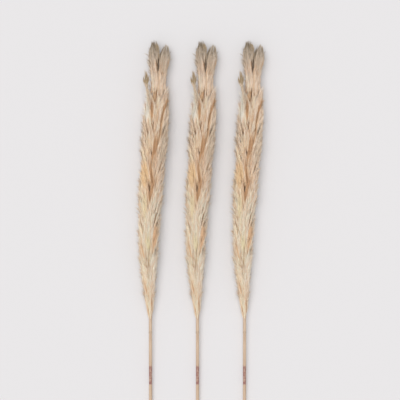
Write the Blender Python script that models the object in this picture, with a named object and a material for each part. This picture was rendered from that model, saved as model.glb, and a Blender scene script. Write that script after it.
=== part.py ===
"""Bundle of dried pampas grass: three cut plumes lying side by side on a flat surface.

Frame: +Y runs from the cut ends to the plume tips, +Z is up, and the plumes rest on z = 0.
The origin is under the middle of the whole bundle's box.

Each plume has one culm, which carries on as the rachis through the flower head, and tiers of
branch tufts that overlap like shingles. A place in a plume is given by its station (0 at the
plume's base, STATIONS at its tip), its angle round the rachis (0 towards +X, 90 degrees up) and
its radius from the rachis's middle. Solids that touch in nature keep a gap of GAP.
"""
import math

import bmesh
import bpy
from mathutils import Vector

# Whole bundle, in metres
STEM_SPACING = 0.100
TOTAL_LENGTH = 0.900
PLUME_LENGTH = 0.584
GAP = 0.0004

# Culm and rachis
STEM_RADIUS = 0.0033
RACHIS_TIP_RADIUS = 0.0013
RACHIS_END_STATION = 14.98
NODE_FROM_CUT = 0.284
NODE_HALF_LENGTH = 0.006
NODE_SWELL = 1.14
STEM_BEVEL_RESOLUTION = 2

# Plume body: (fraction of the plume's length, metres)
STATIONS = 20
THICKNESS_TO_WIDTH = 0.88
BODY_RADIUS = ((0.0, 0.0062), (0.10, 0.0120), (0.25, 0.0212), (0.35, 0.0228), (0.45, 0.0268),
               (0.53, 0.0256), (0.65, 0.0286), (0.75, 0.0275), (0.86, 0.0168), (0.95, 0.0243),
               (1.0, 0.0240))
AXIS_DRIFT = ((0.0, 0.0), (0.20, -0.0040), (0.35, -0.0020), (0.60, 0.0074), (0.80, 0.0150),
              (1.0, 0.0201))
AXIS_HEIGHT = ((0.0, 0.0135), (0.25, 0.0195), (0.50, 0.0215), (0.75, 0.0213), (1.0, 0.0145))

# Branch tufts: a tier starts TIER_PITCH stations after the last and reaches TIER_REACH stations on
TIER_COUNT = 5
TIER_PITCH = 3
TIER_REACH = 5
SPREAD_STATIONS = 2
BASE_THICKNESS = 0.0014
TUFT_HALF_ANGLE = 60.0
ARC_STEPS = 6
TIP_RINGS = ((4.0, 0.72), (4.4, 0.42))
TIP_LIFT = 0.0009
TIP_FLARE = (0.0035, 0.0030, 0.0040, 0.0030, 0.0110)
TUFT_LAYOUT = {
    "even": (("left", 150.0, 0.60), ("right", 30.0, 0.35), ("under", 270.0, 0.45)),
    "odd": (("top", 90.0, 0.40), ("lower_left", 210.0, 0.50), ("lower_right", 330.0, 0.70)),
}

# The two heads at the tip: start of the half turn covered, then the tip's station, side offset
# from the axis and height
HEAD_ARC_STEPS = 9
HEAD_RING_STATIONS = (15.0, 16.0, 17.0, 18.0, 19.0, 19.45)
HEAD_NARROW = 0.62
HEADS = {"left": (90.0, 20.0, -0.0118, 0.0150), "right": (270.0, 19.72, 0.0150, 0.0160)}

# The loose sprig on the plume's left: (station, offset from the axis, height over the axis, radius)
SPRIG_POINTS = ((15.05, -0.0135, 0.0242, 0.0009), (15.6, -0.0158, 0.0252, 0.0011),
                (16.2, -0.0195, 0.0236, 0.0013), (16.8, -0.0232, 0.0190, 0.0024),
                (17.3, -0.0255, 0.0150, 0.0038), (17.65, -0.0266, 0.0125, 0.0026),
                (17.95, -0.0275, 0.0105, 0.0006))
SPRIG_BEVEL_RESOLUTION = 2

# Colours, as linear RGB
STEM_COLOUR = (0.56, 0.41, 0.29)
TIER_COLOURS = ((0.68, 0.57, 0.42), (0.66, 0.53, 0.39), (0.62, 0.46, 0.34), (0.62, 0.49, 0.38),
                (0.58, 0.47, 0.37))
HEAD_COLOUR = (0.44, 0.40, 0.33)
SPRIG_COLOUR = (0.36, 0.31, 0.21)


def clear_scene():
    for old in list(bpy.data.objects):
        bpy.data.objects.remove(old, do_unlink=True)


def along(points, t):
    """Value at t on a smooth curve through the given (t, value) points."""
    t = min(max(t, points[0][0]), points[-1][0])
    last = len(points) - 1
    i = next(n for n in range(last) if t <= points[n + 1][0])

    def slope(n):
        low, high = points[max(n - 1, 0)], points[min(n + 1, last)]
        return (high[1] - low[1]) / (high[0] - low[0])

    (t0, v0), (t1, v1) = points[i], points[i + 1]
    span = t1 - t0
    u = (t - t0) / span
    rise = (3 - 2 * u) * u * u
    bend = u * (1 - u) * span * ((1 - u) * slope(i) - u * slope(i + 1))
    return v0 + rise * (v1 - v0) + bend


def axis_point(station):
    """Middle of the plume at a station."""
    f = station / STATIONS
    y = TOTAL_LENGTH - PLUME_LENGTH + f * PLUME_LENGTH
    return Vector((along(AXIS_DRIFT, f), y, along(AXIS_HEIGHT, f)))


def rachis_radius(station):
    taper = min(station / RACHIS_END_STATION, 1.0)
    return STEM_RADIUS + taper * (RACHIS_TIP_RADIUS - STEM_RADIUS)


def floor_radius(station, angle):
    """Distance from the axis to the surface below, or a large one for directions that go up."""
    down = -math.sin(angle)
    return axis_point(station).z / down if down > 0.01 else 1.0


def body_radius(station, angle):
    """Radius of the plume's body: an ellipse, pressed flat where it lies on the surface."""
    wide = along(BODY_RADIUS, station / STATIONS)
    oval = wide / math.hypot(math.cos(angle), math.sin(angle) / THICKNESS_TO_WIDTH)
    return min(oval, floor_radius(station, angle))


def spread_of(tier, station):
    """How far a tier has spread from the rachis (0) to the plume's outside (1)."""
    return min((station - tier * TIER_PITCH) / SPREAD_STATIONS, 1.0)


def layer_radius(tier, station, angle):
    """Radius of the face between a tier and the one below it; the rachis before the tier starts."""
    rachis = rachis_radius(station) + GAP / 2
    if station < tier * TIER_PITCH:
        return rachis
    thin = rachis + BASE_THICKNESS
    return thin + spread_of(tier, station) * (body_radius(station, angle) - thin)


def outer_radius(tier, station, angle):
    """Radius of a tier's outer face, half a gap in wherever the tier below covers it."""
    covered = spread_of(tier, station) < 1
    return layer_radius(tier, station, angle) - (GAP / 2 if covered else 0.0)


def place(station, angle, radius):
    return axis_point(station) + Vector((radius * math.cos(angle), 0.0, radius * math.sin(angle)))


def arc_angles(centre, half, radius):
    """Angles of one arc, its two ends moved in by half a gap."""
    reach = half - GAP / 2 / radius
    ends = (-reach, reach)
    inner = [half * (2 * n / ARC_STEPS - 1) for n in range(1, ARC_STEPS)]
    return [centre + turn for turn in (ends[0], *inner, ends[1])]


def tuft_ring(tier, offset, centre, half, flare, lift):
    """Section of a tuft at a station: its outer arc, then its inner arc back."""
    station = tier * TIER_PITCH + offset

    def outer(angle):
        radius = outer_radius(tier, station, angle) + flare
        return min(radius, floor_radius(station, angle))

    def inner(angle):
        return layer_radius(tier + 1, station, angle) + GAP / 2 + lift

    out_arc = [(a, outer(a)) for a in arc_angles(centre, half, outer(centre))]
    in_arc = [(a, inner(a)) for a in arc_angles(centre, half, inner(centre))]
    return [place(station, a, r) for a, r in out_arc + in_arc[::-1]]


def loft(name, rings, tip):
    """Closed mesh through rings of equal, even point count, flat at the first, pointed at tip.

    The first half of a ring faces its second half, so strips between the two close the flat end.
    """
    bm = bmesh.new()
    loops = [[bm.verts.new(p) for p in ring] for ring in rings]
    point = bm.verts.new(tip)
    count = len(rings[0])
    for low, high in zip(loops, loops[1:]):
        for n in range(count):
            m = (n + 1) % count
            bm.faces.new((low[n], low[m], high[m], high[n]))
    for n in range(count):
        bm.faces.new((loops[-1][n], loops[-1][(n + 1) % count], point))
    base = loops[0]
    for n in range(count // 2 - 1):
        bm.faces.new((base[n], base[n + 1], base[count - 2 - n], base[count - 1 - n]))
    bmesh.ops.triangulate(bm, faces=bm.faces[:], quad_method="FIXED")
    bmesh.ops.recalc_face_normals(bm, faces=bm.faces[:])
    mesh = bpy.data.meshes.new(name)
    bm.to_mesh(mesh)
    bm.free()
    mesh.shade_smooth()
    return mesh


def tuft_mesh(tier, centre_degrees, stagger):
    """One branch tuft: hugs the rachis, spreads to the outside and ends in a raised point."""
    centre = math.radians(centre_degrees)
    full = math.radians(TUFT_HALF_ANGLE)
    tip_offset = TIER_REACH - stagger
    free = tip_offset - SPREAD_STATIONS
    rings = [tuft_ring(tier, offset, centre, full, 0.0, 0.0) for offset in range(4)]
    shrink = tip_offset / TIER_REACH
    for offset, width in TIP_RINGS:
        place_on = 3 + (offset - 3) * shrink ** 2
        flare = TIP_FLARE[tier] * ((place_on - SPREAD_STATIONS) / free) ** 2
        rings.append(tuft_ring(tier, place_on, centre, full * width, flare, TIP_LIFT))
    station = tier * TIER_PITCH + tip_offset
    outer = body_radius(station, centre) + TIP_FLARE[tier]
    under = layer_radius(tier + 1, station, centre) + GAP + TIP_LIFT
    limit = floor_radius(station, centre) - GAP / 2
    radius = min(max(outer, under), limit)
    return loft(f"tuft_{tier + 1}", rings, place(station, centre, radius))


def head_ring(station, centre, target):
    """Section of a head: half of the plume's section, drawn in towards target near the tip."""
    quarter = math.pi / 2
    side = math.copysign(GAP / 2, math.cos(centre))
    points = []
    for n in range(HEAD_ARC_STEPS + 1):
        angle = centre - quarter + math.pi * n / HEAD_ARC_STEPS
        radius = outer_radius(TIER_COUNT, station, angle)
        inset = side if n in (0, HEAD_ARC_STEPS) else 0.0
        points.append(place(station, angle, radius) + Vector((inset, 0.0, 0.0)))
    last_full = HEAD_RING_STATIONS[-2]
    if station > last_full:
        middle = Vector((target.x, points[0].y, target.z))
        points = [middle.lerp(p, HEAD_NARROW) for p in points]
    return points


def head_mesh(side):
    """One of the two heads: a half section that grows out of the rachis tip to its own point."""
    start, station, offset, height = HEADS[side]
    centre = math.radians(start + 90.0)
    tip = axis_point(station)
    tip = Vector((tip.x + offset, tip.y, height))
    rings = [head_ring(s, centre, tip) for s in HEAD_RING_STATIONS]
    return loft(f"head_{side}", rings, tip)


def tube_mesh(name, points, resolution):
    """Closed round tube through (position, radius) points, from a bevelled curve."""
    curve = bpy.data.curves.new(name, "CURVE")
    curve.dimensions = "3D"
    curve.bevel_depth = 1.0
    curve.bevel_resolution = resolution
    curve.use_fill_caps = True
    spline = curve.splines.new("POLY")
    spline.points.add(len(points) - 1)
    for knot, (position, radius) in zip(spline.points, points):
        knot.co = (*position, 1.0)
        knot.radius = radius
    holder = bpy.data.objects.new(name, curve)
    bpy.context.scene.collection.objects.link(holder)
    graph = bpy.context.evaluated_depsgraph_get()
    mesh = bpy.data.meshes.new_from_object(holder.evaluated_get(graph))
    bpy.data.objects.remove(holder, do_unlink=True)
    bm = bmesh.new()
    bm.from_mesh(mesh)
    bmesh.ops.remove_doubles(bm, verts=bm.verts[:], dist=0.00001)
    bmesh.ops.recalc_face_normals(bm, faces=bm.faces[:])
    bm.to_mesh(mesh)
    bm.free()
    mesh.shade_smooth()
    return mesh


def stem_mesh():
    """Culm from its cut end, over the swollen node, and on as the rachis inside the plume."""
    base = axis_point(0)
    cut = Vector((base.x, 0.0, STEM_RADIUS))

    def on_culm(y):
        return cut.lerp(base, y / base.y)

    points = [(cut, STEM_RADIUS)]
    points.append((on_culm(NODE_FROM_CUT - NODE_HALF_LENGTH), STEM_RADIUS))
    points.append((on_culm(NODE_FROM_CUT), STEM_RADIUS * NODE_SWELL))
    points.append((on_culm(NODE_FROM_CUT + NODE_HALF_LENGTH), STEM_RADIUS))
    stations = [*range(int(RACHIS_END_STATION) + 1), RACHIS_END_STATION]
    points += [(axis_point(s), rachis_radius(s)) for s in stations]
    return tube_mesh("stem", points, STEM_BEVEL_RESOLUTION)


def sprig_mesh():
    """Loose sprig: a thin stalk against the top tier's left tuft, with a small head."""
    points = []
    for station, side, height, radius in SPRIG_POINTS:
        points.append((axis_point(station) + Vector((side, 0.0, height)), radius))
    return tube_mesh("sprig", points, SPRIG_BEVEL_RESOLUTION)


def plume_pieces():
    """Mesh and colour of every piece of one plume, by the piece's plain name."""
    pieces = {"stem": (stem_mesh(), STEM_COLOUR)}
    for tier in range(TIER_COUNT):
        layout = TUFT_LAYOUT["even" if tier % 2 == 0 else "odd"]
        for side, centre, stagger in layout:
            name = f"tier{tier + 1}_tuft_{side}"
            pieces[name] = (tuft_mesh(tier, centre, stagger), TIER_COLOURS[tier])
    for side in HEADS:
        pieces[f"head_{side}"] = (head_mesh(side), HEAD_COLOUR)
    pieces["sprig"] = (sprig_mesh(), SPRIG_COLOUR)
    return pieces


def material(name, colour):
    made = bpy.data.materials.new(name)
    made.use_nodes = True
    shader = made.node_tree.nodes["Principled BSDF"]
    shader.inputs["Base Color"].default_value = (*colour, 1.0)
    shader.inputs["Roughness"].default_value = 0.8
    shader.inputs["Metallic"].default_value = 0.0
    return made


def box_of(objects):
    corners = [obj.matrix_world @ v.co for obj in objects for v in obj.data.vertices]
    low = Vector([min(c[n] for c in corners) for n in range(3)])
    high = Vector([max(c[n] for c in corners) for n in range(3)])
    return low, high


def build():
    clear_scene()
    collection = bpy.data.collections.new("pampas_grass_bundle")
    bpy.context.scene.collection.children.link(collection)
    bundle = bpy.data.objects.new("bundle", None)
    collection.objects.link(bundle)
    made = []
    for number, plume in enumerate(("left", "middle", "right")):
        shift = (number - 1) * STEM_SPACING
        for piece, (mesh, colour) in plume_pieces().items():
            name = f"{plume}_{piece}"
            mesh.materials.append(material(name, colour))
            obj = bpy.data.objects.new(name, mesh)
            obj.location.x = shift
            obj.parent = bundle
            collection.objects.link(obj)
            made.append(obj)
    bpy.context.view_layer.update()
    low, high = box_of(made)
    bundle.location = (-(low.x + high.x) / 2, -(low.y + high.y) / 2, 0.0)
    bpy.context.view_layer.update()


build()
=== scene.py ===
"""Looks of the pampas grass bundle: silky strands, culms, surface, light and camera."""
import math

import bpy
import numpy as np
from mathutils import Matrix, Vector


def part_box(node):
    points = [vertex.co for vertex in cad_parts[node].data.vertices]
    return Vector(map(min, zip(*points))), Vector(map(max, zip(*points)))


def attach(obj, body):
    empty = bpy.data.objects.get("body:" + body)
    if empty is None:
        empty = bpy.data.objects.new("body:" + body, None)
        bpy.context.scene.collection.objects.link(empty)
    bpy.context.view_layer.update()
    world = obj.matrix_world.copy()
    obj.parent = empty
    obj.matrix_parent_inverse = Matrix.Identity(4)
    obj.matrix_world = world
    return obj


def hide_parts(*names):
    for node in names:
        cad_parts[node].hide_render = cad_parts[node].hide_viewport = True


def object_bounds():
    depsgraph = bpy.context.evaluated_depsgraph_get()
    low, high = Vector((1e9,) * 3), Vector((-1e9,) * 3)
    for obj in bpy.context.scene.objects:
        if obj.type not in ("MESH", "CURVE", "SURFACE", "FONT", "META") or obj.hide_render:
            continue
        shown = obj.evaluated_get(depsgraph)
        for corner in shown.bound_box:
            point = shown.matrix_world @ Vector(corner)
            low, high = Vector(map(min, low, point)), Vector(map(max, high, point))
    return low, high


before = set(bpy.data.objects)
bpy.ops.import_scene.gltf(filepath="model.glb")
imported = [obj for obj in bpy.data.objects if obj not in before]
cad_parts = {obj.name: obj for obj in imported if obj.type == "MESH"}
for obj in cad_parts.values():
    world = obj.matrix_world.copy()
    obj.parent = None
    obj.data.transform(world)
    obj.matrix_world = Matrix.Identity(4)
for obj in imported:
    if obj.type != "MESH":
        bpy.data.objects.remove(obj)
cad_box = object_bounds()
rng = np.random.default_rng(11)

# ------------------------------------------------- the plume's layout, in metres, as in the CAD
TOTAL_LENGTH = 0.900
PLUME_LENGTH = 0.584
STATIONS = 20
STATION_LENGTH = PLUME_LENGTH / STATIONS
STEM_RADIUS = 0.0033
RACHIS_TIP_RADIUS = 0.0013
RACHIS_END = 14.98
NODE_FROM_CUT = 0.284
THICKNESS_TO_WIDTH = 0.88
TIER_PITCH = 3
TIER_REACH = 5
BODY_RADIUS = ((0.0, 0.0062), (0.10, 0.0120), (0.25, 0.0212), (0.35, 0.0228), (0.45, 0.0268),
               (0.53, 0.0256), (0.65, 0.0286), (0.75, 0.0275), (0.86, 0.0168), (0.95, 0.0243),
               (1.0, 0.0240))
AXIS_DRIFT = ((0.0, 0.0), (0.20, -0.0040), (0.35, -0.0020), (0.60, 0.0074), (0.80, 0.0150),
              (1.0, 0.0201))
AXIS_HEIGHT = ((0.0, 0.0135), (0.25, 0.0195), (0.50, 0.0215), (0.75, 0.0213), (1.0, 0.0145))
TUFTS = {0: (("left", 150.0, 0.60), ("right", 30.0, 0.35), ("under", 270.0, 0.45)),
         1: (("top", 90.0, 0.40), ("lower_left", 210.0, 0.50), ("lower_right", 330.0, 0.70))}
TUFT_HALF_ANGLE = 60.0
TIP_FLARE = (0.0035, 0.0030, 0.0040, 0.0030, 0.0110)
HEADS = {"left": (180.0, 20.0, -0.0118, 0.0150), "right": (0.0, 19.72, 0.0150, 0.0160)}
SPRIG_POINTS = ((15.05, -0.0135, 0.0242, 0.0009), (15.6, -0.0158, 0.0252, 0.0011),
                (16.2, -0.0195, 0.0236, 0.0013), (16.8, -0.0232, 0.0190, 0.0024),
                (17.3, -0.0255, 0.0150, 0.0038), (17.65, -0.0266, 0.0125, 0.0026),
                (17.95, -0.0275, 0.0105, 0.0006))
PLUMES = ("left", "middle", "right")
SPRIG_TWIGS = np.array((-0.0034, -0.0008, 0.0024, 0.0064))
SPRIG_DROPS = np.array((0.45, 0.0, 0.06, 0.30))
FLOOR_CLEARANCE = 0.0004

# ------------------------------------------------------------------------------- strands of hair
POINTS_ON_STRAND = 4
STRAND_RADIUS = 0.00025
FLECK = np.array((0.55, 0.45, 0.36))
GLINT = np.array((1.22, 1.13, 1.18))
HAIR_BALANCE = np.array((1.07, 0.975, 0.915))
OUTER_LOCKS = 78
OUTER_STRANDS = 38
INNER_LOCKS = 14
INNER_STRANDS = 40
EDGE_TRIES = 64
EDGE_STRANDS = 14
STRAY_SHARE = 0.16
PALETTE_SIZE = 64

# Colours seen, as sRGB from 0 to 255. Along the plume: station, then left, middle and right.
COLOUR_ALONG = (
    (0.0, (204, 186, 158), (204, 184, 156), (198, 182, 160)),
    (4.0, (209, 187, 158), (229, 201, 173), (214, 198, 178)),
    (7.5, (220, 196, 168), (222, 194, 168), (215, 195, 175)),
    (10.0, (212, 184, 148), (196, 160, 130), (197, 178, 159)),
    (12.5, (197, 172, 145), (198, 168, 143), (195, 177, 156)),
    (15.0, (199, 179, 155), (213, 187, 162), (196, 173, 152)),
    (17.5, (196, 182, 162), (205, 184, 162), (190, 170, 150)),
    (18.6, (160, 152, 139), (174, 159, 142), (158, 148, 132)),
    (19.4, (122, 124, 115), (126, 121, 110), (122, 120, 108)),
    (20.0, (66, 71, 64), (66, 70, 62), (72, 74, 64)))
# Painted shade together with the brown of inner branches: strands deep in the plume are mixed
# towards this colour.
DEEP_SHADE_AND_BRANCH_COLOUR = (178, 146, 108)
TIP_COLOUR = (244, 236, 224)

# Darker and warmer streaks on the upper side: colour, half width, then (station, side offset). The
# dark ones are painted shade in the gaps between locks, with the brown of the branches seen there;
# the pale and golden ones are the strands' own colour.
STREAKS_AND_GAP_SHADE = (
    ((84, 70, 56), 0.0016, ((19.2, 0.0024), (18.5, 0.0022))),
    ((158, 144, 114), 0.0014, ((18.5, 0.0020), (17.6, 0.0012))),
    ((164, 148, 118), 0.0013, ((17.4, 0.0030), (16.6, 0.0020))),
    ((128, 92, 48), 0.0022, ((15.4, -0.0095), (14.6, -0.0085))),
    ((134, 100, 68), 0.0013, ((15.9, 0.0240), (15.1, 0.0160), (14.2, 0.0110))),
    ((160, 122, 86), 0.0013, ((14.2, 0.0115), (13.0, 0.0120))),
    ((134, 94, 64), 0.0017, ((12.9, 0.0016), (12.2, 0.0012), (11.6, -0.0020))),
    ((142, 102, 72), 0.0016, ((12.9, 0.0064), (12.0, 0.0050))),
    ((116, 96, 60), 0.0014, ((12.1, 0.0205), (11.6, 0.0185), (10.9, 0.0160))),
    ((146, 100, 66), 0.0020, ((10.9, -0.0040), (10.2, -0.0010), (9.6, 0.0034))),
    ((134, 88, 52), 0.0020, ((9.6, 0.0034), (9.1, 0.0004), (8.6, -0.0016))),
    ((220, 212, 198), 0.0044, ((17.0, -0.0212), (14.7, -0.0205))),
    ((170, 162, 140), 0.0030, ((14.0, 0.0205), (12.6, 0.0190), (11.4, 0.0165))),
    ((198, 160, 116), 0.0050, ((10.9, -0.0160), (9.8, -0.0150))),
    ((216, 184, 142), 0.0032, ((8.6, -0.0110), (7.6, -0.0100))),
    ((184, 140, 106), 0.0032, ((6.5, 0.0140), (5.3, 0.0125))),
    ((222, 200, 146), 0.0036, ((5.6, -0.0020), (5.2, 0.0020))),
    ((160, 138, 82), 0.0014, ((5.0, -0.0120), (4.6, -0.0100))),
    ((118, 92, 68), 0.0012, ((1.3, 0.0036), (0.9, 0.0044))),
    ((150, 122, 92), 0.0012, ((2.3, -0.0070), (1.9, -0.0060))))


def linear(srgb):
    """Linear RGB of sRGB values from 0 to 255."""
    c = np.asarray(srgb, dtype=float) / 255.0
    return np.where(c <= 0.04045, c / 12.92, ((c + 0.055) / 1.055) ** 2.4)


def hair_albedo(seen):
    """Colour of a single hair, when a deep mat of such hairs is to look like the colour seen."""
    return np.clip((1 - ((1 - seen) / (1 + seen)) ** 2) * HAIR_BALANCE, 0.01, 0.97)


def along(points, t):
    """Values at t on a smooth curve through (t, value) points, held level past its ends."""
    at, value = np.array(points, dtype=float).T
    slope = np.empty_like(value)
    slope[1:-1] = (value[2:] - value[:-2]) / (at[2:] - at[:-2])
    slope[0] = (value[1] - value[0]) / (at[1] - at[0])
    slope[-1] = (value[-1] - value[-2]) / (at[-1] - at[-2])
    t = np.clip(t, at[0], at[-1])
    i = np.clip(np.searchsorted(at, t, side="right") - 1, 0, len(at) - 2)
    span = at[i + 1] - at[i]
    u = (t - at[i]) / span
    rise = (3 - 2 * u) * u * u
    bend = u * (1 - u) * span * ((1 - u) * slope[i] - u * slope[i + 1])
    return value[i] + rise * (value[i + 1] - value[i]) + bend


def axis(station):
    """Middle of the plume at stations, with the culm's line at x = 0 and the cut end at y = 0."""
    station = np.asarray(station, dtype=float)
    f = station / STATIONS
    y = TOTAL_LENGTH - PLUME_LENGTH + f * PLUME_LENGTH
    return np.stack([along(AXIS_DRIFT, f), y, along(AXIS_HEIGHT, f)], axis=-1)


def body(station, angle):
    """Radius of the plume at a station and angle, pressed flat where it lies on the surface."""
    f = np.asarray(station) / STATIONS
    oval = along(BODY_RADIUS, f) / np.hypot(np.cos(angle), np.sin(angle) / THICKNESS_TO_WIDTH)
    down = np.maximum(-np.sin(angle), 0.01)
    return np.where(down > 0.01, np.minimum(oval, along(AXIS_HEIGHT, f) / down), oval)


def around(angle):
    """Unit vectors away from the axis and across, at an angle."""
    zero = np.zeros_like(angle)
    outward = np.stack([np.cos(angle), zero, np.sin(angle)], axis=-1)
    across = np.stack([-np.sin(angle), zero, np.cos(angle)], axis=-1)
    return outward, across


class Strands:
    """Strand paths (count, points, 3), their thickness and their colour, gathered for one piece."""

    def __init__(self):
        self.paths, self.radii, self.colours = [], [], []

    def add(self, paths, radii, colours):
        self.paths.append(paths.reshape(-1, POINTS_ON_STRAND, 3))
        self.radii.append(radii.reshape(-1))
        self.colours.append(colours.reshape(-1, 3))

    def joined(self):
        return (np.concatenate(self.paths), np.concatenate(self.radii),
                np.concatenate(self.colours))


def base_colour(station, side, depth):
    """Colour of a strand from its station, its side offset as a share of the body, and depth;
    deeper strands get painted shade mixed with the brown of inner branches.
    """
    at = [row[0] for row in COLOUR_ALONG]
    zones = [np.array([linear(row[n]) for row in COLOUR_ALONG]) for n in (1, 2, 3)]
    left, middle, right = [np.stack([np.interp(station, at, z[:, c]) for c in range(3)], axis=-1)
                           for z in zones]
    lean = np.clip(side / 0.7, -1, 1)[..., None]
    mixed = middle + np.maximum(-lean, 0) * (left - middle) + np.maximum(lean, 0) * (right - middle)
    # Painted shade, partly the brown of the inner branches: deeper strands mix towards the deep
    # colour.
    deep = np.clip((0.86 - depth) / 0.4, 0, 1)[..., None]
    return mixed + deep * 0.75 * (linear(DEEP_SHADE_AND_BRANCH_COLOUR) - mixed)


def streak_weight(station, offset, route, half_width):
    """How far points (station, side offset) lie inside a streak, from 0 to 1."""
    px, py = station * STATION_LENGTH, offset
    best = np.full(px.shape, 9.0)
    for (s0, x0), (s1, x1) in zip(route, route[1:]):
        ax, ay = s0 * STATION_LENGTH, x0
        dx, dy = s1 * STATION_LENGTH - ax, x1 - ay
        t = np.clip(((px - ax) * dx + (py - ay) * dy) / (dx * dx + dy * dy), 0, 1)
        best = np.minimum(best, np.hypot(px - ax - t * dx, py - ay - t * dy))
    return np.clip(1.4 - best / half_width * 0.9, 0, 1)


def streaked_and_gap_shaded(colours, station, offset, upper):
    """Strand colours after the streaks, painted gap shade among them, from (count, points) stations
    and side offsets.
    """
    for colour, half_width, route in STREAKS_AND_GAP_SHADE:
        weight = streak_weight(station, offset, route, half_width).mean(axis=-1) * 2.2
        weight = np.clip(weight, 0, 0.92) * upper
        colours = colours + weight[..., None] * (linear(colour) - colours)
    return colours


def grow(strands, lock, count, radius, stray_share):
    """Strands of a set of locks. lock holds one value for each lock, as arrays of one length."""
    locks = len(lock["start"])
    shape = (locks, count, 1)
    t0 = rng.uniform(0.0, 0.66, shape)
    t1 = t0 + rng.uniform(0.24, 0.46, shape)
    tau = np.linspace(0.0, 1.0, POINTS_ON_STRAND)
    t = t0 + (t1 - t0) * tau
    pick = {name: value[:, None, None] for name, value in lock.items()}
    station = pick["start"] + (pick["end"] - pick["start"]) * t
    wave = pick["sway"] * np.sin(2 * math.pi * (t * pick["turns"] + pick["phase"]))
    angle = pick["angle"] + pick["fan"] * t + wave
    depth = pick["depth0"] + (pick["depth1"] - pick["depth0"]) * np.minimum(t, 1.1) ** 0.8
    spin = rng.uniform(0, 2 * math.pi, shape)
    spread = np.sqrt(rng.uniform(0, 1, shape)) * pick["width"]
    girth = np.clip(np.sin(math.pi * np.clip(0.10 + 0.86 * t, 0, 1)), 0.12, 1) ** 0.7
    stray = rng.uniform(0, 1, shape) < stray_share
    splay = np.where(stray, rng.uniform(0.0015, 0.0050, shape), rng.uniform(0, 0.0011, shape))
    lean = rng.normal(0, 0.8, shape)
    across_by = np.cos(spin) * spread * girth + splay * lean * tau ** 1.6
    outward_by = np.sin(spin) * spread * girth * 0.7 + splay * np.abs(np.cos(lean)) * tau ** 1.6
    outward, across = around(angle)
    flare = pick["flare"] * np.clip((t - 0.45) / 0.55, 0, 1.2) ** 2
    reach = body(station, angle) * depth - pick["width"] * 0.5 + flare
    spot = axis(station) + outward * (reach + outward_by)[..., None] + across * across_by[..., None]
    side = spot[..., 0] - axis(station)[..., 0]
    wide = along(BODY_RADIUS, station / STATIONS)
    middle = POINTS_ON_STRAND // 2
    colour = base_colour(station[..., middle], (side / wide)[..., middle], depth[..., middle])
    shade = pick["shade"] * rng.normal(1.0, 0.09, (locks, count, 1))
    warm = (pick["warm"] + rng.normal(0, 0.03, (locks, count, 1))) * np.array((1.0, 0.0, -1.0))
    colour = np.clip(colour * shade * (1 + warm), 0.01, 0.93)
    fleck = rng.uniform(0, 1, (locks, count, 1)) < 0.14
    colour = np.where(fleck, colour * FLECK, colour)
    glint = rng.uniform(0, 1, (locks, count, 1)) < 0.10
    colour = np.where(glint, np.minimum(colour * GLINT, 0.9), colour)
    upper = (np.sin(angle[..., middle]) > -0.1) & (depth[..., middle] > 0.6)
    # Streaks: the dark ones are painted shade in the gaps between locks, partly the brown of
    # branches seen there.
    colour = streaked_and_gap_shaded(colour, station, side, upper)
    thick = radius * rng.uniform(0.75, 1.25, shape)
    strands.add(spot, np.broadcast_to(thick, shape).copy(), hair_albedo(colour))


def lock_table(count, **values):
    """One value for each lock from fixed numbers or (low, high) ranges."""
    made = {}
    for name, value in values.items():
        if isinstance(value, tuple):
            made[name] = rng.uniform(*value, count)
        else:
            made[name] = np.broadcast_to(np.asarray(value, dtype=float), (count,)).copy()
    return made


def edge_barbs(strands, centre, half, first, last):
    """Short barbs along the plume's sides that splay upwards and outwards, darker than the rest."""
    sweep = math.radians(centre) + rng.uniform(-1, 1, EDGE_TRIES) * half
    sweep = sweep[np.abs(np.cos(sweep)) > 0.88]
    if len(sweep) == 0:
        return
    end = rng.uniform(first, last, len(sweep))
    edge = lock_table(len(sweep), start=end - rng.uniform(0.35, 0.60, len(sweep)), end=end,
                      angle=sweep, fan=0.0, sway=(0.0, 0.02), turns=(0.3, 0.6), phase=(0.0, 1.0),
                      depth0=(0.80, 0.90), depth1=0.97 - 0.04 * np.sign(np.cos(sweep)),
                      width=(0.0004, 0.0009), flare=(0.0028, 0.0066), shade=(0.30, 0.68),
                      warm=(-0.14, -0.02))
    grow(strands, edge, EDGE_STRANDS, STRAND_RADIUS * 0.8, 0.3)


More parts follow.
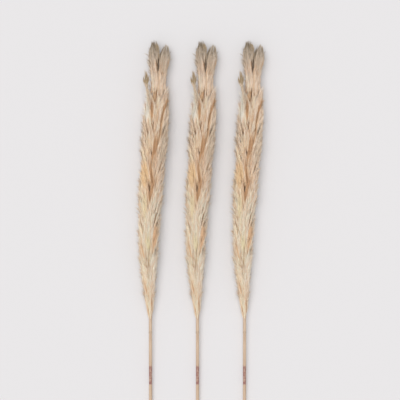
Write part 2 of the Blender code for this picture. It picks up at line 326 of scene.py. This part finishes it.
def tuft_strands(tier, centre, stagger):
    """Locks of one branch tuft: an outer layer that shows and a darker inner one that fills, its
    darkness partly painted shade and partly the brown of inner branches.
    """
    strands = Strands()
    half = math.radians(TUFT_HALF_ANGLE)
    base = tier * TIER_PITCH
    tip = base + TIER_REACH - stagger + 0.25
    across = (np.arange(OUTER_LOCKS) + rng.uniform(0, 1, OUTER_LOCKS)) / OUTER_LOCKS * 2 - 1
    rng.shuffle(across)
    angle = math.radians(centre) + across * half
    latest = tip - 1.1 * np.abs(across) ** 2.2
    length = rng.uniform(0.9, 1.8, OUTER_LOCKS)
    end = latest - rng.uniform(0, 1, OUTER_LOCKS) ** 1.3 * 3.0
    end = np.maximum(end, base + 1.2)
    start = np.maximum(end - length, base - 0.1)
    start = np.where(end - start < 0.8, end - 0.8, start)
    fan = 0.42 * -np.cos(angle) * np.sign(np.sin(angle) + 0.3)
    fan = fan + rng.normal(0, 0.10, OUTER_LOCKS)
    closeness = np.clip((end - latest + 0.8) / 0.8, 0, 1)
    outer = lock_table(OUTER_LOCKS, start=start, end=end, angle=angle - fan * 0.4, fan=fan,
                       sway=(0.0, 0.07), turns=(0.3, 0.7), phase=(0.0, 1.0),
                       depth0=(0.62, 0.82), depth1=(0.90, 1.02), width=(0.0014, 0.0034),
                       flare=TIP_FLARE[tier] * closeness, shade=(0.72, 1.20),
                       warm=(-0.08, 0.10))
    grow(strands, outer, OUTER_STRANDS, STRAND_RADIUS, STRAY_SHARE)
    inner_angle = math.radians(centre) + rng.uniform(-0.95, 0.95, INNER_LOCKS) * half
    inner = lock_table(INNER_LOCKS, start=(base + 0.0, base + 1.4), end=(base + 3.4, base + 4.4),
                       angle=inner_angle, fan=0.0, sway=(0.0, 0.1), turns=(0.3, 0.6),
                       phase=(0.0, 1.0), depth0=(0.35, 0.55), depth1=(0.72, 0.93),
                       width=(0.003, 0.005), flare=0.0, shade=(0.75, 1.0), warm=(0.0, 0.08))
    grow(strands, inner, INNER_STRANDS, STRAND_RADIUS * 1.35, 0.02)
    edge_barbs(strands, centre, half, base + 1.5, tip)
    return strands


def head_strands(side):
    """Locks of one head, drawn together towards its point."""
    strands = Strands()
    centre, tip_station, tip_side, tip_height = HEADS[side]
    count = OUTER_LOCKS + 8
    across = (np.arange(count) + rng.uniform(0, 1, count)) / count * 2 - 1
    rng.shuffle(across)
    angle = math.radians(centre) + across * math.radians(86)
    end = tip_station - rng.uniform(0, 1, count) ** 1.6 * 2.8 + 0.15
    start = end - rng.uniform(1.1, 2.0, count)
    start = np.maximum(start, 15.0)
    outer = lock_table(count, start=start, end=end, angle=angle, fan=(-0.08, 0.08),
                       sway=(0.0, 0.06), turns=(0.3, 0.7), phase=(0.0, 1.0),
                       depth0=(0.62, 0.86), depth1=(0.92, 1.02), width=(0.0013, 0.0026),
                       flare=0.0, shade=(0.74, 1.16), warm=(-0.06, 0.06))
    grow(strands, outer, OUTER_STRANDS, STRAND_RADIUS, STRAY_SHARE * 0.8)
    # Inner locks, darkened by their depth with painted shade and the brown of inner branches.
    inner = lock_table(INNER_LOCKS, start=(14.8, 16.5), end=(18.0, 19.3),
                       angle=math.radians(centre) + rng.uniform(-1.2, 1.2, INNER_LOCKS), fan=0.0,
                       sway=(0.0, 0.1), turns=(0.3, 0.6), phase=(0.0, 1.0),
                       depth0=(0.15, 0.35), depth1=(0.45, 0.75), width=(0.003, 0.005),
                       flare=0.0, shade=(0.75, 1.0), warm=(0.0, 0.08))
    grow(strands, inner, INNER_STRANDS, STRAND_RADIUS * 1.35, 0.02)
    edge_barbs(strands, centre, math.radians(80), 16.0, tip_station - 0.2)
    tip = axis(tip_station) + np.array([tip_side, 0.0, 0.0])
    tip[2] = tip_height
    for paths in strands.paths:
        around_axis = np.arctan2(paths[:, :1, 2] - tip[2], paths[:, :1, 0] - tip[0])
        pull = 0.70 + 0.24 * np.sin(7 * around_axis + paths[:, :1, 1] * 90)
        station = (paths[..., 1] - (TOTAL_LENGTH - PLUME_LENGTH)) / STATION_LENGTH
        shut = np.clip(1 - (tip_station - station) / 0.75, 0, 1.1) ** 1.1
        for c in (0, 2):
            paths[..., c] += pull * shut * (tip[c] - paths[..., c])
    return strands


def sprig_strands():
    """The loose sprig: a thin stalk of strands that opens into a small head."""
    strands = Strands()
    points = np.array(SPRIG_POINTS)
    count = 1500
    low, high = points[0, 0], points[-1, 0]
    t0 = 1 - rng.uniform(0, 1, (count, 1)) ** 0.8
    tau = np.linspace(0, 1, POINTS_ON_STRAND)
    station = low + (high - low) * (t0 * 0.89 + rng.uniform(0.09, 0.17, (count, 1)) * tau)
    offset = [np.interp(station, points[:, 0], points[:, n]) for n in (1, 2, 3)]
    drop = np.clip((station - 16.6) / 1.1, 0, 1)
    twig = rng.integers(0, len(SPRIG_TWIGS), (count, 1))
    offset[0] = offset[0] + SPRIG_TWIGS[twig] * drop ** 1.3
    station = station - SPRIG_DROPS[twig] * drop
    spin = rng.uniform(0, 2 * math.pi, (count, 1))
    spread = np.sqrt(rng.uniform(0, 1, (count, 1))) * np.minimum(offset[2], 0.0016)
    splay = np.where(rng.uniform(0, 1, (count, 1)) < 0.3, 0.0026, 0.0005) * tau ** 1.5
    spot = axis(station)
    spot[..., 0] += offset[0] + np.cos(spin) * (spread + splay)
    spot[..., 2] += offset[1] + np.sin(spin) * (spread + splay)
    colour = linear((158, 150, 126)) * rng.normal(1.0, 0.12, (count, 1))
    dark = rng.uniform(0, 1, (count, 1)) < 0.25 + 0.65 * (station[:, 2:3] > 17.0)
    colour = np.where(dark, linear((100, 94, 70)), colour)
    strands.add(spot, STRAND_RADIUS * rng.uniform(0.7, 1.1, count), hair_albedo(colour))
    return strands


def palette_of(colours):
    """A short palette that the strands' colours are rounded to, by repeated averaging."""
    sample = colours[rng.integers(0, len(colours), 6000)]
    palette = sample[:PALETTE_SIZE].copy()
    for _ in range(6):
        nearest = ((sample[:, None] - palette[None]) ** 2).sum(axis=-1).argmin(axis=-1)
        for n in range(PALETTE_SIZE):
            if (nearest == n).any():
                palette[n] = sample[nearest == n].mean(axis=0)
    return palette[np.argsort(palette.sum(axis=-1))]


def strand_mesh(name, strands, palette):
    """Closed three-sided needles along the paths, tapered to a point, with a tint and a UV map."""
    paths, radii, colours = strands.joined()
    paths[..., 2] = np.maximum(paths[..., 2], FLOOR_CLEARANCE)
    count, points = paths.shape[:2]
    tangent = np.gradient(paths, axis=1)
    tangent /= np.linalg.norm(tangent, axis=-1, keepdims=True) + 1e-12
    turn = rng.normal(size=(count, 1, 3))
    first = np.cross(tangent, turn)
    first /= np.linalg.norm(first, axis=-1, keepdims=True) + 1e-12
    second = np.cross(tangent, first)
    taper = np.array([0.75, 1.0, 0.80])
    rings = []
    for corner in range(3):
        a = 2 * math.pi * corner / 3
        sweep = (math.cos(a) * first + math.sin(a) * second)[:, :-1]
        rings.append(paths[:, :-1] + sweep * (radii[:, None] * taper)[..., None])
    ring = np.stack(rings, axis=2)
    ring[..., 2] = np.maximum(ring[..., 2], 0.0001)
    verts = np.concatenate([ring.reshape(count, -1, 3), paths[:, -1:]], axis=1)
    per = verts.shape[1]
    quads, tris = [], [(2, 1, 0)]
    for n in range(points - 2):
        for c in range(3):
            d = (c + 1) % 3
            quads.append((3 * n + c, 3 * n + d, 3 * n + 3 + d, 3 * n + 3 + c))
    last = 3 * (points - 2)
    tris += [(last + c, last + (c + 1) % 3, per - 1) for c in range(3)]
    shift = (np.arange(count) * per)[:, None, None]
    quad_index = (np.array(quads)[None] + shift).reshape(-1)
    tri_index = (np.array(tris)[None] + shift).reshape(-1)
    loops = np.concatenate([quad_index, tri_index]).astype(np.int32)
    sizes = np.concatenate([np.full(len(quad_index) // 4, 4), np.full(len(tri_index) // 3, 3)])
    starts = np.concatenate([[0], np.cumsum(sizes)[:-1]]).astype(np.int32)
    mesh = bpy.data.meshes.new(name)
    mesh.vertices.add(count * per)
    mesh.vertices.foreach_set("co", verts.reshape(-1).astype(np.float32))
    mesh.loops.add(len(loops))
    mesh.loops.foreach_set("vertex_index", loops)
    mesh.polygons.add(len(sizes))
    mesh.polygons.foreach_set("loop_start", starts)
    mesh.update(calc_edges=True)
    column = np.concatenate([((c[:, None] - palette[None]) ** 2).sum(axis=-1).argmin(axis=-1)
                             for c in np.array_split(colours, 8)])
    tint = mesh.attributes.new("tint", "FLOAT_COLOR", "POINT")
    rgba = np.concatenate([palette[column], np.ones((count, 1))], axis=1)
    tint.data.foreach_set("color", np.repeat(rgba, per, axis=0).reshape(-1).astype(np.float32))
    corner_u = np.array([-0.32, 0.0, 0.32])
    u = np.concatenate([np.tile(corner_u, points - 1), [0.0]])
    v = np.concatenate([np.repeat(np.arange(points - 1), 3), [points - 1]]) / (points - 1)
    uv = np.empty((count, per, 2))
    uv[..., 0] = (column[:, None] + 0.5 + u) / PALETTE_SIZE
    uv[..., 1] = 0.02 + 0.96 * v
    layer = mesh.uv_layers.new(name="OFBake")
    layer.data.foreach_set("uv", uv.reshape(-1, 2)[loops].reshape(-1).astype(np.float32))
    mesh.polygons.foreach_set("use_smooth", np.zeros(len(sizes), dtype=bool))
    mesh.validate()
    return mesh


# ------------------------------------------------------------------------------------ materials
def new_material(name):
    made = bpy.data.materials.new(name)
    made.use_nodes = True
    return made, made.node_tree, made.node_tree.nodes["Principled BSDF"]


def strand_material():
    """Dry silky hair: the strand's own tint, browner at its root and paler at its tip."""
    made, tree, shader = new_material("pampas_hair")
    tint = tree.nodes.new("ShaderNodeAttribute")
    tint.attribute_name = "tint"
    uv = tree.nodes.new("ShaderNodeUVMap")
    uv.uv_map = "OFBake"
    split = tree.nodes.new("ShaderNodeSeparateXYZ")
    tree.links.new(uv.outputs["UV"], split.inputs[0])
    root = tree.nodes.new("ShaderNodeValToRGB")
    stops = root.color_ramp.elements
    stops[0].position, stops[1].position = 0.0, 0.42
    stops[0].color = (0.99, 0.93, 0.85, 1.0)
    stops[1].color = (1.0, 1.0, 1.0, 1.0)
    tree.links.new(split.outputs["Y"], root.inputs["Fac"])
    rooted = tree.nodes.new("ShaderNodeMix")
    rooted.data_type, rooted.blend_type = "RGBA", "MULTIPLY"
    rooted.inputs["Factor"].default_value = 1.0
    tree.links.new(tint.outputs["Color"], rooted.inputs["A"])
    tree.links.new(root.outputs["Color"], rooted.inputs["B"])
    tip = tree.nodes.new("ShaderNodeMapRange")
    tip.inputs["From Min"].default_value = 0.6
    tip.inputs["From Max"].default_value = 1.0
    tip.inputs["To Max"].default_value = 0.12
    tree.links.new(split.outputs["Y"], tip.inputs["Value"])
    tipped = tree.nodes.new("ShaderNodeMix")
    tipped.data_type = "RGBA"
    tipped.inputs["B"].default_value = (*linear(TIP_COLOUR), 1.0)
    tree.links.new(tip.outputs["Result"], tipped.inputs["Factor"])
    tree.links.new(rooted.outputs["Result"], tipped.inputs["A"])
    stretch = tree.nodes.new("ShaderNodeMapping")
    stretch.inputs["Scale"].default_value = (90.0, 6.0, 1.0)
    tree.links.new(uv.outputs["UV"], stretch.inputs["Vector"])
    noise = tree.nodes.new("ShaderNodeTexNoise")
    noise.inputs["Scale"].default_value = 1.0
    tree.links.new(stretch.outputs["Vector"], noise.inputs["Vector"])
    level = tree.nodes.new("ShaderNodeMapRange")
    level.inputs["To Min"].default_value = 0.96
    level.inputs["To Max"].default_value = 1.05
    tree.links.new(noise.outputs["Fac"], level.inputs["Value"])
    mottled = tree.nodes.new("ShaderNodeVectorMath")
    mottled.operation = "SCALE"
    tree.links.new(tipped.outputs["Result"], mottled.inputs[0])
    tree.links.new(level.outputs["Result"], mottled.inputs["Scale"])
    tree.links.new(mottled.outputs["Vector"], shader.inputs["Base Color"])
    shader.inputs["Roughness"].default_value = 0.62
    shader.inputs["Specular IOR Level"].default_value = 0.25
    return made


def culm_material():
    """Dry culm: pale tan with fine long fibres, weathered spots and a reddish stain."""
    made, tree, shader = new_material("culm_skin")
    place = tree.nodes.new("ShaderNodeTexCoord")
    stretch = tree.nodes.new("ShaderNodeMapping")
    stretch.inputs["Scale"].default_value = (900.0, 14.0, 900.0)
    tree.links.new(place.outputs["Object"], stretch.inputs["Vector"])
    fibre = tree.nodes.new("ShaderNodeTexNoise")
    fibre.inputs["Scale"].default_value = 1.0
    fibre.inputs["Detail"].default_value = 4.0
    tree.links.new(stretch.outputs["Vector"], fibre.inputs["Vector"])
    ramp = tree.nodes.new("ShaderNodeValToRGB")
    stops = ramp.color_ramp.elements
    stops[0].position, stops[1].position = 0.30, 0.72
    stops[0].color = (*linear((186, 154, 126)), 1.0)
    stops[1].color = (*linear((226, 202, 176)), 1.0)
    tree.links.new(fibre.outputs["Fac"], ramp.inputs["Fac"])
    blotch = tree.nodes.new("ShaderNodeTexNoise")
    blotch.inputs["Scale"].default_value = 210.0
    blotch.inputs["Detail"].default_value = 3.0
    tree.links.new(place.outputs["Object"], blotch.inputs["Vector"])
    split = tree.nodes.new("ShaderNodeSeparateXYZ")
    tree.links.new(place.outputs["Object"], split.inputs[0])
    stain = tree.nodes.new("ShaderNodeValToRGB")
    ramp_stops = stain.color_ramp.elements
    low, high = STAIN_SPAN
    ramp_stops[0].position, ramp_stops[1].position = low - 0.004, low
    ramp_stops[0].color, ramp_stops[1].color = (0, 0, 0, 1), (1, 1, 1, 1)
    for at, value in ((low + 0.006, 0.75), (low + 0.012, 1.0), (low + 0.020, 0.72),
                      (low + 0.027, 1.0), (high, 0.8), (high + 0.002, 0.0)):
        stop = ramp_stops.new(at)
        stop.color = (value, value, value, 1.0)
    tree.links.new(split.outputs["Y"], stain.inputs["Fac"])
    patch = tree.nodes.new("ShaderNodeMath")
    patch.operation = "MULTIPLY"
    spots = tree.nodes.new("ShaderNodeMapRange")
    spots.inputs["From Min"].default_value = 0.36
    spots.inputs["From Max"].default_value = 0.62
    spots.inputs["To Min"].default_value = 0.30
    tree.links.new(blotch.outputs["Fac"], spots.inputs["Value"])
    tree.links.new(stain.outputs["Color"], patch.inputs[0])
    tree.links.new(spots.outputs["Result"], patch.inputs[1])
    stained = tree.nodes.new("ShaderNodeMix")
    stained.data_type = "RGBA"
    stained.inputs["B"].default_value = (*linear((142, 84, 84)), 1.0)
    tree.links.new(patch.outputs["Value"], stained.inputs["Factor"])
    tree.links.new(ramp.outputs["Color"], stained.inputs["A"])
    scar = tree.nodes.new("ShaderNodeValToRGB")
    scar_stops = scar.color_ramp.elements
    scar_stops[0].position, scar_stops[1].position = NODE_FROM_CUT - 0.003, NODE_FROM_CUT - 0.001
    scar_stops[0].color, scar_stops[1].color = (1, 1, 1, 1), (0.66, 0.60, 0.52, 1)
    for at, value in ((NODE_FROM_CUT + 0.001, 0.80), (NODE_FROM_CUT + 0.003, 1.0)):
        stop = scar_stops.new(at)
        stop.color = (value, value, value, 1.0)
    tree.links.new(split.outputs["Y"], scar.inputs["Fac"])
    scarred = tree.nodes.new("ShaderNodeMix")
    scarred.data_type, scarred.blend_type = "RGBA", "MULTIPLY"
    scarred.inputs["Factor"].default_value = 1.0
    tree.links.new(stained.outputs["Result"], scarred.inputs["A"])
    tree.links.new(scar.outputs["Color"], scarred.inputs["B"])
    tree.links.new(scarred.outputs["Result"], shader.inputs["Base Color"])
    bump = tree.nodes.new("ShaderNodeBump")
    bump.inputs["Strength"].default_value = 0.35
    bump.inputs["Distance"].default_value = 0.0002
    tree.links.new(fibre.outputs["Fac"], bump.inputs["Height"])
    tree.links.new(bump.outputs["Normal"], shader.inputs["Normal"])
    shader.inputs["Roughness"].default_value = 0.5
    shader.inputs["Specular IOR Level"].default_value = 0.35
    return made


def pith_material():
    """Pale spongy pith at the cut end, with the pores of its fibres."""
    made, tree, shader = new_material("culm_pith")
    place = tree.nodes.new("ShaderNodeTexCoord")
    pores = tree.nodes.new("ShaderNodeTexVoronoi")
    pores.inputs["Scale"].default_value = 2600.0
    tree.links.new(place.outputs["Object"], pores.inputs["Vector"])
    ramp = tree.nodes.new("ShaderNodeValToRGB")
    stops = ramp.color_ramp.elements
    stops[0].position, stops[1].position = 0.05, 0.35
    stops[0].color = (*linear((146, 116, 86)), 1.0)
    stops[1].color = (*linear((232, 216, 188)), 1.0)
    tree.links.new(pores.outputs["Distance"], ramp.inputs["Fac"])
    tree.links.new(ramp.outputs["Color"], shader.inputs["Base Color"])
    bump = tree.nodes.new("ShaderNodeBump")
    bump.inputs["Strength"].default_value = 0.5
    bump.inputs["Distance"].default_value = 0.0002
    tree.links.new(pores.outputs["Distance"], bump.inputs["Height"])
    tree.links.new(bump.outputs["Normal"], shader.inputs["Normal"])
    shader.inputs["Roughness"].default_value = 0.85
    return made


# ---------------------------------------------------------------------------------------- culms
CULM_SIDES = 36
CULM_STEP = 0.004
RIBS = 14
RIB_DEPTH = 0.00005
STAIN_SPAN = (0.176, 0.212)


def culm_rings():
    """Centres and radii along the culm and rachis, closer together round the node."""
    base = axis(0.0)
    cut = np.array([0.0, 0.0, STEM_RADIUS])
    end_y = axis(RACHIS_END)[1]
    ys = np.unique(np.concatenate([
        np.arange(0.0, end_y, CULM_STEP), [end_y],
        NODE_FROM_CUT + np.linspace(-0.007, 0.007, 15)]))
    station = (ys - base[1]) / STATION_LENGTH
    centre = np.where((ys < base[1])[:, None], cut + (base - cut) * (ys / base[1])[:, None],
                      axis(np.maximum(station, 0)))
    centre[:, 1] = ys
    taper = np.clip(station / RACHIS_END, 0, 1)
    radius = STEM_RADIUS + taper * (RACHIS_TIP_RADIUS - STEM_RADIUS)
    off = (ys - NODE_FROM_CUT) / 0.0022
    radius = radius * (1 + 0.11 * np.exp(-off ** 2) - 0.05 * np.exp(-(off + 2.1) ** 2))
    radius = radius * (1 + 0.012 * np.sin(ys * 61) + 0.008 * np.sin(ys * 153 + 1))
    return centre, np.minimum(radius, STEM_RADIUS * 1.12)


def culm_mesh():
    """Culm with long ribs, a swollen node with its scar ring, and a cut end with sunk pith."""
    centre, radius = culm_rings()
    turn = np.linspace(0, 2 * math.pi, CULM_SIDES, endpoint=False)
    twist = centre[:, 1:2] * 1.5
    rib = RIB_DEPTH * (np.cos(RIBS * (turn[None] + twist)) - 1)
    r = radius[:, None] + rib
    ring = np.stack([centre[:, :1] + r * np.cos(turn), np.repeat(centre[:, 1:2], CULM_SIDES, 1),
                     centre[:, 2:] + r * np.sin(turn)], axis=-1)
    cut_rings = []
    for share, depth in ((0.90, -0.0001), (0.82, 0.0003), (0.45, 0.0005)):
        face = ring[0].copy()
        face[:, 0] = centre[0, 0] + (face[:, 0] - centre[0, 0]) * share
        face[:, 2] = centre[0, 2] + (face[:, 2] - centre[0, 2]) * share
        face[:, 1] += depth
        cut_rings.append(face)
    rings = np.concatenate([np.array(cut_rings)[::-1], ring])
    rings[..., 2] = np.maximum(rings[..., 2], 0.00005)
    count = len(rings)
    verts = [*rings.reshape(-1, 3), centre[0] + (0, 0.0005, 0), centre[-1] + (0, 0.0012, 0)]
    faces, slots = [], []
    for n in range(count - 1):
        for c in range(CULM_SIDES):
            d = (c + 1) % CULM_SIDES
            a, b = n * CULM_SIDES, (n + 1) * CULM_SIDES
            faces.append((a + c, b + c, b + d, a + d))
            slots.append(1 if n < 2 else 0)
    last = (count - 1) * CULM_SIDES
    for c in range(CULM_SIDES):
        d = (c + 1) % CULM_SIDES
        faces.append((d, len(verts) - 2, c))
        slots.append(1)
        faces.append((last + c, len(verts) - 1, last + d))
        slots.append(0)
    mesh = bpy.data.meshes.new("culm")
    mesh.from_pydata([tuple(v) for v in verts], [], faces)
    mesh.polygons.foreach_set("material_index", slots)
    mesh.polygons.foreach_set("use_smooth", np.ones(len(faces), dtype=bool))
    mesh.validate()
    return mesh


# --------------------------------------------------------------------------------------- pieces
def culm_line(plume):
    """World position of a plume's cut end, read from the frame."""
    low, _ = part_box(f"{plume}_stem")
    points = np.array([v.co[:] for v in bpy.data.objects[f"{plume}_stem"].data.vertices])
    end = points[points[:, 1] < low[1] + 0.001]
    return (float(end[:, 0].mean()), float(low[1]), 0.0)


def all_strands():
    """Strands of every tuft, head and sprig of one plume, by the CAD node's plain name."""
    made = {}
    for tier in range(5):
        for side, centre, stagger in TUFTS[tier % 2]:
            made[f"tier{tier + 1}_tuft_{side}"] = tuft_strands(tier, centre, stagger)
    for side in HEADS:
        made[f"head_{side}"] = head_strands(side)
    made["sprig"] = sprig_strands()
    return made


def add_piece(name, mesh, at, node):
    piece = bpy.data.objects.new(name, mesh)
    piece.location = at
    bpy.context.scene.collection.objects.link(piece)
    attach(piece, "root")
    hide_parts(node)


def build_bundle():
    strands = all_strands()
    palette = palette_of(np.concatenate([s.joined()[2] for s in strands.values()]))
    hair = strand_material()
    meshes = {}
    for name, gathered in strands.items():
        meshes[name] = strand_mesh(f"{name}_hair", gathered, palette)
        meshes[name].materials.append(hair)
    culm = culm_mesh()
    culm.materials.append(culm_material())
    culm.materials.append(pith_material())
    for plume in PLUMES:
        at = culm_line(plume)
        for name, mesh in meshes.items():
            add_piece(f"{plume}_{name}_hair", mesh, at, f"{plume}_{name}")
        add_piece(f"{plume}_culm", culm, at, f"{plume}_stem")


# ---------------------------------------------------------------------- surface, light and camera
VIEW_SPAN = 0.8466
VIEW_ASIDE = 0.0053
VIEW_BELOW_TIPS = 0.3344
PLUME_MIDDLE_HEIGHT = 0.022
LENS = 100.0
SENSOR = 36.0
SURFACE_SIZE = 12.0
SURFACE = (231, 229, 230)
WORLD_LEVEL = 0.50
SUN_LEVEL = 1.70
SUN_TILT = 13.0
SUN_TURN = -125.0
SUN_WIDTH = 60.0


def build_surface():
    bpy.ops.mesh.primitive_plane_add(size=SURFACE_SIZE, location=(0.0, 0.0, 0.0))
    floor = bpy.context.object
    floor.name = "surface"
    made, tree, shader = new_material("pale_surface")
    shader.inputs["Base Color"].default_value = (*linear(SURFACE), 1.0)
    shader.inputs["Roughness"].default_value = 0.9
    shader.inputs["Specular IOR Level"].default_value = 0.0
    floor.data.materials.append(made)


def add_sun(name, tilt_deg, turn_deg, width_deg, strength):
    data = bpy.data.lights.new(name, "SUN")
    data.angle = math.radians(width_deg)
    data.energy = strength
    lamp = bpy.data.objects.new(name, data)
    lamp.rotation_euler = (math.radians(tilt_deg), 0.0, math.radians(turn_deg))
    bpy.context.scene.collection.objects.link(lamp)


def build_light():
    world = bpy.data.worlds.new("studio")
    world.use_nodes = True
    tree = world.node_tree
    path = tree.nodes.new("ShaderNodeLightPath")
    seen = tree.nodes.new("ShaderNodeMath")
    seen.operation = "ADD"
    tree.links.new(path.outputs["Is Camera Ray"], seen.inputs[0])
    tree.links.new(path.outputs["Is Glossy Ray"], seen.inputs[1])
    seen_all = tree.nodes.new("ShaderNodeMath")
    seen_all.operation = "ADD"
    seen_all.use_clamp = True
    tree.links.new(seen.outputs["Value"], seen_all.inputs[0])
    tree.links.new(path.outputs["Is Transmission Ray"], seen_all.inputs[1])
    mix = tree.nodes.new("ShaderNodeMix")
    mix.data_type = "RGBA"
    mix.inputs["A"].default_value = (WORLD_LEVEL, WORLD_LEVEL, WORLD_LEVEL, 1.0)
    mix.inputs["B"].default_value = (*linear(SURFACE), 1.0)
    tree.links.new(seen_all.outputs["Value"], mix.inputs["Factor"])
    tree.links.new(mix.outputs["Result"], tree.nodes["Background"].inputs["Color"])
    bpy.context.scene.world = world
    add_sun("key", SUN_TILT, SUN_TURN, SUN_WIDTH, SUN_LEVEL)


def build_camera(tips_y):
    data = bpy.data.cameras.new("camera")
    data.lens = LENS
    data.sensor_width = SENSOR
    camera = bpy.data.objects.new("camera", data)
    middle_x = culm_line("middle")[0] + VIEW_ASIDE
    distance = VIEW_SPAN * LENS / SENSOR
    camera.location = (middle_x, tips_y - VIEW_BELOW_TIPS, distance + PLUME_MIDDLE_HEIGHT)
    bpy.context.scene.collection.objects.link(camera)
    bpy.context.scene.camera = camera


for old in ("Cube", "Light", "Camera"):
    if old in bpy.data.objects:
        bpy.data.objects.remove(bpy.data.objects[old], do_unlink=True)
build_bundle()
build_surface()
build_light()
build_camera(float(cad_box[1][1]))
bpy.context.scene.view_settings.view_transform = "Standard"
